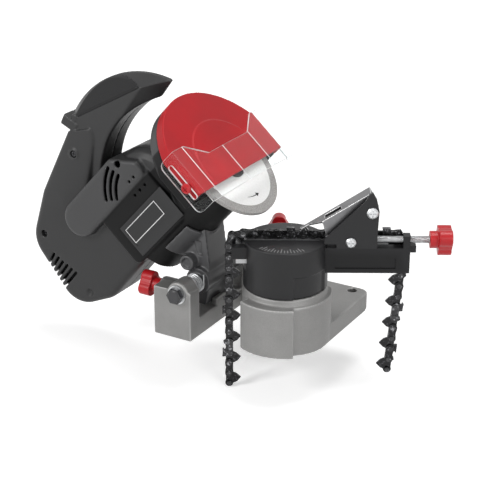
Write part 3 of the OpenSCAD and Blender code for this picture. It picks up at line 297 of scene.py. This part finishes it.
def oily_steel(name, color, rough):
    """Blackened chain steel with an oil coat that pools in places, and painted glints where it is
    brightest.
    """
    mat, tree, bsdf = shader(name)
    vec = coords(tree)
    oil_and_glints = noise(tree, vec, 420, 4, 0.65)
    fine = noise(tree, vec, 1600, 3, 0.6)
    # the last stop, seven times the colour, paints glints: a painted highlight
    body = ramp(tree, oil_and_glints, [(0.35, scaled(color, 0.5)), (0.56, color), (0.66, scaled(color, 7))])
    tree.links.new(body, bsdf.inputs["Base Color"])
    bsdf.inputs["Metallic"].default_value = 0.8
    tree.links.new(spread(tree, oil_and_glints, rough, rough + 0.18), bsdf.inputs["Roughness"])
    tree.links.new(bump(tree, fine, 0.00005), bsdf.inputs["Normal"])
    bsdf.inputs["Coat Weight"].default_value = 0.25
    bsdf.inputs["Coat Roughness"].default_value = 0.12
    return mat


def abrasive(name):
    """Bonded grit: grey grains with some bright and some dark ones."""
    mat, tree, bsdf = shader(name)
    vec = coords(tree)
    cells = tree.nodes.new("ShaderNodeTexVoronoi")
    cells.inputs["Scale"].default_value = 1300
    tree.links.new(vec, cells.inputs["Vector"])
    grit = noise(tree, vec, 1900, 3, 0.7)
    grains = [(0.3, (0.16, 0.155, 0.15)), (0.52, (0.36, 0.35, 0.34)), (0.72, (0.62, 0.6, 0.58))]
    body = ramp(tree, grit, grains)
    tree.links.new(body, bsdf.inputs["Base Color"])
    tree.links.new(spread(tree, grit, 0.75, 0.95), bsdf.inputs["Roughness"])
    rough = bump(tree, cells.outputs["Distance"], 0.0002)
    tree.links.new(bump(tree, grit, 0.0002, after=rough), bsdf.inputs["Normal"])
    return mat


def paper(name):
    """Paper disc with a fibrous surface."""
    mat, tree, bsdf = shader(name)
    vec = coords(tree)
    fibre = noise(tree, vec, 700, 5, 0.7)
    body = ramp(tree, fibre, [(0.25, (0.74, 0.74, 0.73)), (0.75, (0.88, 0.88, 0.87))])
    tree.links.new(body, bsdf.inputs["Base Color"])
    tree.links.new(spread(tree, fibre, 0.6, 0.75), bsdf.inputs["Roughness"])
    tree.links.new(bump(tree, fibre, 0.00004), bsdf.inputs["Normal"])
    return mat


def clear(name, tint, rough):
    """Clear sheet plastic with fine haze and handling marks."""
    mat, tree, bsdf = shader(name)
    vec = coords(tree, (1, 1, 0.25))
    marks = noise(tree, vec, 120, 6, 0.7)
    bsdf.inputs["Base Color"].default_value = (*tint, 1.0)
    bsdf.inputs["Transmission Weight"].default_value = 1.0
    bsdf.inputs["IOR"].default_value = 1.16
    tree.links.new(spread(tree, marks, rough * 0.4, rough * 1.6), bsdf.inputs["Roughness"])
    tree.links.new(bump(tree, marks, 0.00001), bsdf.inputs["Normal"])
    return mat


def frosted(name):
    """Sawn edge of the clear sheet, which gathers light and looks milky."""
    mat, tree, bsdf = shader(name)
    saw = noise(tree, coords(tree), 900, 4, 0.6)
    body = ramp(tree, saw, [(0.3, (0.78, 0.82, 0.82)), (0.7, (0.95, 0.97, 0.97))])
    tree.links.new(body, bsdf.inputs["Base Color"])
    tree.links.new(spread(tree, saw, 0.25, 0.45), bsdf.inputs["Roughness"])
    bsdf.inputs["Transmission Weight"].default_value = 0.3
    tree.links.new(bump(tree, saw, 0.00003), bsdf.inputs["Normal"])
    return mat


RED = (0.37, 0.009, 0.013)
SWIVEL = math.radians(29.5)
VISE_X = (math.cos(SWIVEL), math.sin(SWIVEL), 0.0)
VISE_Y = (-math.sin(SWIVEL), math.cos(SWIVEL), 0.0)
looks = {
    "cast_aluminium": cast_metal("cast_aluminium", (0.235, 0.233, 0.228)),
    "steel": metal("steel", (0.6, 0.61, 0.62), 0.32),
    "dark_steel": plastic("dark_steel", (0.016, 0.016, 0.018), 0.38, grain=900, grain_depth=0.00004,
                          wear_and_highlight=2.4, edge=0.5),
    "housing_plastic": housing("housing_plastic", (0.0195, 0.0195, 0.02)),
    "guard_plastic": plastic("guard_plastic", RED, 0.42, grain=260, grain_depth=0.00005, gloss=0.2),
    "knob_plastic": plastic("knob_plastic", scaled(RED, 1.15), 0.36, grain=300, grain_depth=0.00005,
                            coat=0.04, gloss=0.3),
    "shield_plastic": clear("shield_plastic", (0.97, 0.99, 0.99), 0.015),
    "abrasive": abrasive("abrasive"),
    "paper": paper("paper"),
    "vise_plastic": plastic("vise_plastic", (0.01, 0.01, 0.0108), 0.42, wear_and_highlight=2.6, edge=0.5, gloss=0.3),
    "zinc_sheet": metal("zinc_sheet", (0.42, 0.425, 0.43), 0.34, brush=(1, 1, 6)),
    "bronze": metal("bronze", (0.6, 0.42, 0.22), 0.4),
    "copper": metal("copper", (0.7, 0.33, 0.16), 0.35),
    "chain_steel": oily_steel("chain_steel", (0.012, 0.012, 0.013), 0.2),
    "mark_white": plastic("mark_white", (0.6, 0.6, 0.6), 0.5),
    "rubber_black": plastic("rubber_black", (0.012, 0.012, 0.012), 0.6, gloss=0.3),
}
# pieces whose finish differs from the rest of their slot
extra = {
    "grip_pads": plastic("pad_plastic", (0.009, 0.009, 0.0095), 0.36, grain=2200, wear_and_highlight=2.0, gloss=0.2),
    "chain_rivets": oily_steel("rivet_steel", (0.045, 0.045, 0.047), 0.14),
    "chain_cutters": oily_steel("cutter_chrome", (0.035, 0.035, 0.037), 0.16),
    "vise_arm": plastic("arm_paint", (0.006, 0.006, 0.0065), 0.46, wear_and_highlight=3.0, edge=0.5, gloss=0.22),
    "stop_bracket": plastic("bracket_paint", (0.008, 0.008, 0.0085), 0.44, wear_and_highlight=3.0, edge=0.5, gloss=0.25),
    "tilt_arm": plastic("arm_steel", (0.05, 0.05, 0.052), 0.4, grain=900, wear_and_highlight=2.2, edge=0.5),
    "label_plate": plastic("label_field", (0.008, 0.008, 0.0085), 0.36, grain=2200, wear_and_highlight=2.0, gloss=0.35),
    # the pawl's bright edges are a painted highlight
    "chain_pawl": metal("pawl_steel", (0.19, 0.19, 0.195), 0.36, brush=(1, 1, 6), wear_and_highlight=1.0),
    "angle_scale": plastic("scale_marks", (0.2, 0.2, 0.2), 0.55, gloss=0.2),
    "adjust_screw": threaded("adjust_thread", (0.6, 0.61, 0.62), VISE_X, 0.001),
    "clamp_screw": threaded("clamp_thread", (0.6, 0.61, 0.62), VISE_Y, 0.001),
    "depth_screw": threaded("depth_thread", (0.6, 0.61, 0.62), (1.0, 0.0, 0.0), 0.001),
}
frost = frosted("sheet_edge")
ink = plastic("print_ink", (0.012, 0.012, 0.012), 0.6, gloss=0.2)
print_white = plastic("print_white", (0.62, 0.62, 0.62), 0.55, gloss=0.2)


def dress(obj, node):
    obj.data.materials.clear()
    obj.data.materials.append(extra.get(node) or looks[slot_of[node]])


for node_name, obj in nodes.items():
    dress(obj, node_name)
    obj.data.set_sharp_from_angle(angle=SHARP_ANGLE)
    for face in obj.data.polygons:
        face.use_smooth = True


# ---- moulded and cast pieces get the small radii of their tools ----
# The vise arm keeps its exact solid, because the rear rail opens close to its inner corners.
def evaluated(obj):
    graph = bpy.context.evaluated_depsgraph_get()
    return bpy.data.meshes.new_from_object(obj.evaluated_get(graph), depsgraph=graph)


def soften(node, voxel, rounds, keep):
    obj = bpy.data.objects.new("soft_" + node, nodes[node].data.copy())
    scene.collection.objects.link(obj)
    remesh = obj.modifiers.new("skin", "REMESH")
    remesh.mode = "VOXEL"
    remesh.voxel_size = voxel
    remesh.use_smooth_shade = True
    smooth = obj.modifiers.new("round", "SMOOTH")
    smooth.factor = 0.5
    smooth.iterations = rounds
    thin = obj.modifiers.new("thin", "DECIMATE")
    thin.ratio = keep
    mesh = evaluated(obj)
    obj.modifiers.clear()
    obj.data = mesh
    for face in mesh.polygons:
        face.use_smooth = True
    dress(obj, node)
    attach(obj, body_of[node])
    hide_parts(node)
    return obj


for node, voxel, rounds, keep in [
        ("shell_near", 0.0009, 3, 0.35), ("shell_far", 0.0009, 3, 0.35), ("grip_pads", 0.0006, 3, 0.4),
        ("base_casting", 0.001, 3, 0.4), ("tilt_arm", 0.0008, 3, 0.4), ("wheel_guard", 0.0007, 2, 0.4),
        ("guard_back", 0.0008, 2, 0.4), ("vise_drum", 0.0008, 2, 0.4),
        ("chain_pawl", 0.0004, 2, 0.5), ("depth_knob", 0.0005, 3, 0.5), ("clamp_knob", 0.0005, 3, 0.5),
        ("adjust_knob", 0.0005, 3, 0.5)]:
    soften(node, voxel, rounds, keep)


# ---- details drawn in the head's own frame ----
def head_point(t, y, s):
    return HEAD + ACROSS * t + ALONG * s + Vector((0.0, y, 0.0))


def add_piece(name, verts, faces, material, body):
    mesh = bpy.data.meshes.new(name)
    mesh.from_pydata([tuple(v) for v in verts], [], faces)
    mesh.validate()
    mesh.materials.append(material)
    obj = bpy.data.objects.new(name, mesh)
    scene.collection.objects.link(obj)
    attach(obj, body)
    return obj


# the sheet's folds as (y, s, where along t the fold starts), and the bright line drawn along each as a
# painted highlight
FOLDS = [(-0.057, 0.0143, -0.031), (-0.013, 0.0163, -0.0153), (0.032, 0.0149, -0.0153)]
FOLD_END = 0.022
FOLD_RADIUS = 0.00042
FOLD_SIDES = 8
# the sheet's own limits: the rim of its side tab, and the foot of its far end
TAB_Y = -0.0682
TAB_S = 0.0123
FOOT_Y = 0.068
FOOT_S = 0.0036


def add_shield():
    """The clear sheet with milky sawn edges, and a bright line along each fold, which is a painted
    highlight.
    """
    mesh = nodes["clear_shield"].data.copy()
    obj = bpy.data.objects.new("shield_sheet", mesh)
    scene.collection.objects.link(obj)
    mesh.materials.append(frost)
    for face in mesh.polygons:
        at = face.center - HEAD
        y, s = at.y, at.dot(ALONG)
        end = abs(face.normal.dot(ACROSS)) > 0.35
        tab_rim = y < TAB_Y and s < TAB_S and abs(face.normal.y) < 0.35
        foot = y > FOOT_Y and s < FOOT_S
        if end or tab_rim or foot:
            face.material_index = 1
    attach(obj, body_of["clear_shield"])
    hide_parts("clear_shield")
    n, r = FOLD_SIDES, FOLD_RADIUS
    for i, (y, s, t0) in enumerate(FOLDS):
        verts = [head_point(t, y + r * math.cos(2 * math.pi * k / n), s + r * math.sin(2 * math.pi * k / n))
                 for t in (t0, FOLD_END) for k in range(n)]
        faces = [(k, (k + 1) % n, n + (k + 1) % n, n + k) for k in range(n)]
        faces += [tuple(range(n)), tuple(range(2 * n - 1, n - 1, -1))]
        line = add_piece("fold_highlight_line_%d" % (i + 1), verts, faces, frost, body_of["clear_shield"])


def add_label_border():
    """Thin printed line around the bare label field."""
    t0, t1, s0, s1, w, y = -0.0222, -0.0070, -0.1123, -0.0657, 0.0007, -0.03072
    outer = [(t0, s0), (t1, s0), (t1, s1), (t0, s1)]
    inner = [(t0 + w, s0 + w), (t1 - w, s0 + w), (t1 - w, s1 - w), (t0 + w, s1 - w)]
    verts = [head_point(t, yy, s) for yy in (y, y + 0.00006) for t, s in outer + inner]
    faces = []
    for k in range(4):
        j = (k + 1) % 4
        faces += [(k, j, 4 + j, 4 + k), (8 + k, 12 + k, 12 + j, 8 + j), (k, 8 + k, 8 + j, j),
                  (4 + k, 4 + j, 12 + j, 12 + k)]
    add_piece("label_border", verts, faces, print_white, body_of["label_plate"])


def add_turn_mark():
    """Printed arrow that shows which way the wheel turns."""
    n, r, w, top = 14, 0.0335, 0.0005, 0.00046
    verts, faces = [], []
    for k in range(n + 1):
        a = math.radians(-20 + 22 * k / n)
        half = w * (0.25 + 0.75 * k / n)
        for rr in (r - half, r + half):
            for s in (top - 0.00005, top):
                verts.append(head_point(rr * math.cos(a), rr * math.sin(a), s))
    for k in range(n):
        a, b = 4 * k, 4 * k + 4
        faces += [(a, a + 1, b + 1, b), (a + 1, a + 3, b + 3, b + 1), (a + 3, a + 2, b + 2, b + 3),
                  (a + 2, a, b, b + 2)]
    m = len(verts)
    for s in (top - 0.00005, top):
        for rr, deg in ((r - 0.0021, 1.5), (r + 0.0021, 1.5), (r + 0.0002, 8.5)):
            a = math.radians(deg)
            verts.append(head_point(rr * math.cos(a), rr * math.sin(a), s))
    faces += [(m, m + 2, m + 1), (m + 3, m + 4, m + 5), (m, m + 1, m + 4, m + 3),
              (m + 1, m + 2, m + 5, m + 4), (m + 2, m, m + 3, m + 5)]
    add_piece("turn_mark", verts, faces, ink, body_of["wheel_label"])


add_shield()
add_label_border()
add_turn_mark()


# ---- floor, background and lamps ----
def seen_rays(tree):
    """1 for rays that show the background: from the camera, off gloss or through clear plastic."""
    path = tree.nodes.new("ShaderNodeLightPath")
    total = path.outputs["Is Camera Ray"]
    for kind in ("Is Glossy Ray", "Is Transmission Ray"):
        pair = tree.nodes.new("ShaderNodeMath")
        pair.operation = "MAXIMUM"
        tree.links.new(total, pair.inputs[0])
        tree.links.new(path.outputs[kind], pair.inputs[1])
        total = pair.outputs[0]
    return total


def add_floor():
    lowest = min(cad_box[0][2], cad_box[1][2])
    mesh = bpy.data.meshes.new("floor")
    size = FLOOR_SIZE
    corners = [(-size, -size, 0), (size, -size, 0), (size, size, 0), (-size, size, 0)]
    mesh.from_pydata(corners, [], [(0, 1, 2, 3)])
    floor = bpy.data.objects.new("floor", mesh)
    floor.location.z = lowest - FLOOR_GAP
    scene.collection.objects.link(floor)
    mat = bpy.data.materials.new("floor")
    mat.use_nodes = True
    tree = mat.node_tree
    bsdf = tree.nodes["Principled BSDF"]
    bsdf.inputs["Base Color"].default_value = (0.82, 0.82, 0.82, 1)
    bsdf.inputs["Roughness"].default_value = 0.9
    bsdf.inputs["Specular IOR Level"].default_value = 0.0
    glow = tree.nodes.new("ShaderNodeEmission")
    seen = seen_rays(tree)
    level = tree.nodes.new("ShaderNodeMath")
    level.operation = "MULTIPLY"
    # the lamps fade away from the object, so the floor's own white rises with the distance
    reach = tree.nodes.new("ShaderNodeVectorMath")
    reach.operation = "LENGTH"
    tree.links.new(coords(tree), reach.inputs[0])
    tree.links.new(spread(tree, reach.outputs["Value"], 0.45, 1.0, (0.6, 1.6)), level.inputs[1])
    tree.links.new(seen, level.inputs[0])
    tree.links.new(level.outputs[0], glow.inputs["Strength"])
    add = tree.nodes.new("ShaderNodeAddShader")
    tree.links.new(bsdf.outputs[0], add.inputs[0])
    tree.links.new(glow.outputs[0], add.inputs[1])
    tree.links.new(add.outputs[0], tree.nodes["Material Output"].inputs["Surface"])
    mesh.materials.append(mat)


def add_world():
    world = bpy.data.worlds.new("world")
    world.use_nodes = True
    scene.world = world
    tree = world.node_tree
    back = tree.nodes["Background"]
    back.inputs["Color"].default_value = (1, 1, 1, 1)
    back.inputs["Strength"].default_value = 0.26
    white = tree.nodes.new("ShaderNodeBackground")
    white.inputs["Color"].default_value = (1, 1, 1, 1)
    white.inputs["Strength"].default_value = 1.0
    choose = tree.nodes.new("ShaderNodeMixShader")
    tree.links.new(seen_rays(tree), choose.inputs[0])
    tree.links.new(back.outputs[0], choose.inputs[1])
    tree.links.new(white.outputs[0], choose.inputs[2])
    tree.links.new(choose.outputs[0], tree.nodes["World Output"].inputs["Surface"])


def add_lamp(name, place, size, watts):
    data = bpy.data.lights.new(name, "AREA")
    data.shape = "RECTANGLE"
    data.size, data.size_y = size
    data.energy = watts
    lamp = bpy.data.objects.new(name, data)
    lamp.location = place
    lamp.rotation_euler = (Vector((-0.05, 0, 0.08)) - Vector(place)).to_track_quat("-Z", "Y").to_euler()
    scene.collection.objects.link(lamp)


add_floor()
add_world()
add_lamp("key", (-0.8, -1.5, 1.1), (0.6, 0.6), 21)
add_lamp("fill", (1.4, -0.9, 0.7), (0.6, 0.8), 10)
add_lamp("top", (0.2, 0.2, 1.7), (0.9, 0.6), 15)
scene.view_settings.view_transform = "Standard"
